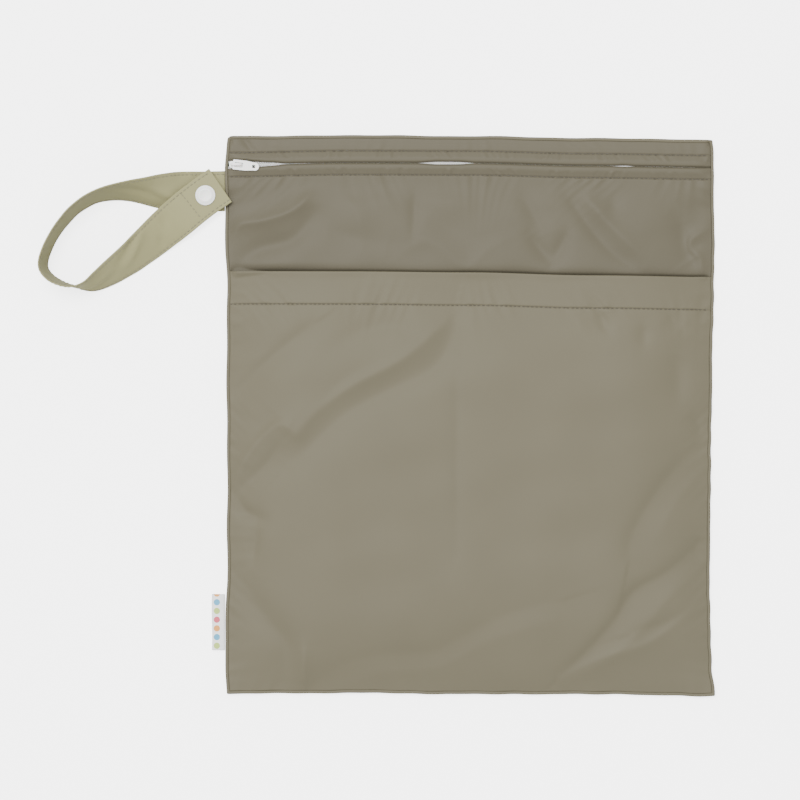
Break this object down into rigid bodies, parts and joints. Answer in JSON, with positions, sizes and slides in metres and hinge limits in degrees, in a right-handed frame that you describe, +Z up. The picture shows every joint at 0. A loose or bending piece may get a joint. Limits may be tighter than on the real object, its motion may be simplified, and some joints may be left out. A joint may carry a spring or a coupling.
{
  "type": "cloth diaper wet bag",
  "caption": "Flat zipped wet bag of laminated cloth with an open front pocket, a snapped wrist strap and a side label.",
  "frame": {"origin": "middle of the flat underside of the back panel, which lies on the surface", "axes": "+Z up out of the front of the lying bag, +Y towards the zipped top, +X towards the side without the strap"},
  "size_m": [0.4182, 0.3481, 0.025],
  "materials": {
    "pocket_cloth": "grey olive laminated polyester knit with a soft satin face",
    "upper_cloth": "grey olive laminated polyester knit with a soft satin face",
    "strap_cloth": "the same knit, folded into a flat band and stitched along both edges",
    "white_plastic": "white moulded plastic, softly shining",
    "white_tape": "white woven tape and white nylon coil",
    "dark_tape": "woven zip tape, under the flaps"
  },
  "bodies": {
    "bag": {"back_panel": "upper_cloth", "front_panel": "upper_cloth", "top_strip": "upper_cloth", "pocket_panel": "pocket_cloth", "zipper_tape_upper": "dark_tape", "zipper_tape_lower": "dark_tape", "zipper_coil": "white_tape", "slider_body": "white_plastic", "strap": "strap_cloth", "snap_cap": "white_plastic", "snap_post": "white_plastic", "snap_back_cap": "white_plastic", "label": "white_tape"},
    "pull": {"pull_tab": "white_plastic"}
  },
  "joints": [
    {"name": "pull_swing", "type": "hinge", "parent": "bag", "child": "pull", "pos_m": [-0.14595, 0.15563, 0.00725], "axis": [-0.1045, -0.9945, 0], "range_deg": [0, 165]}
  ]
}
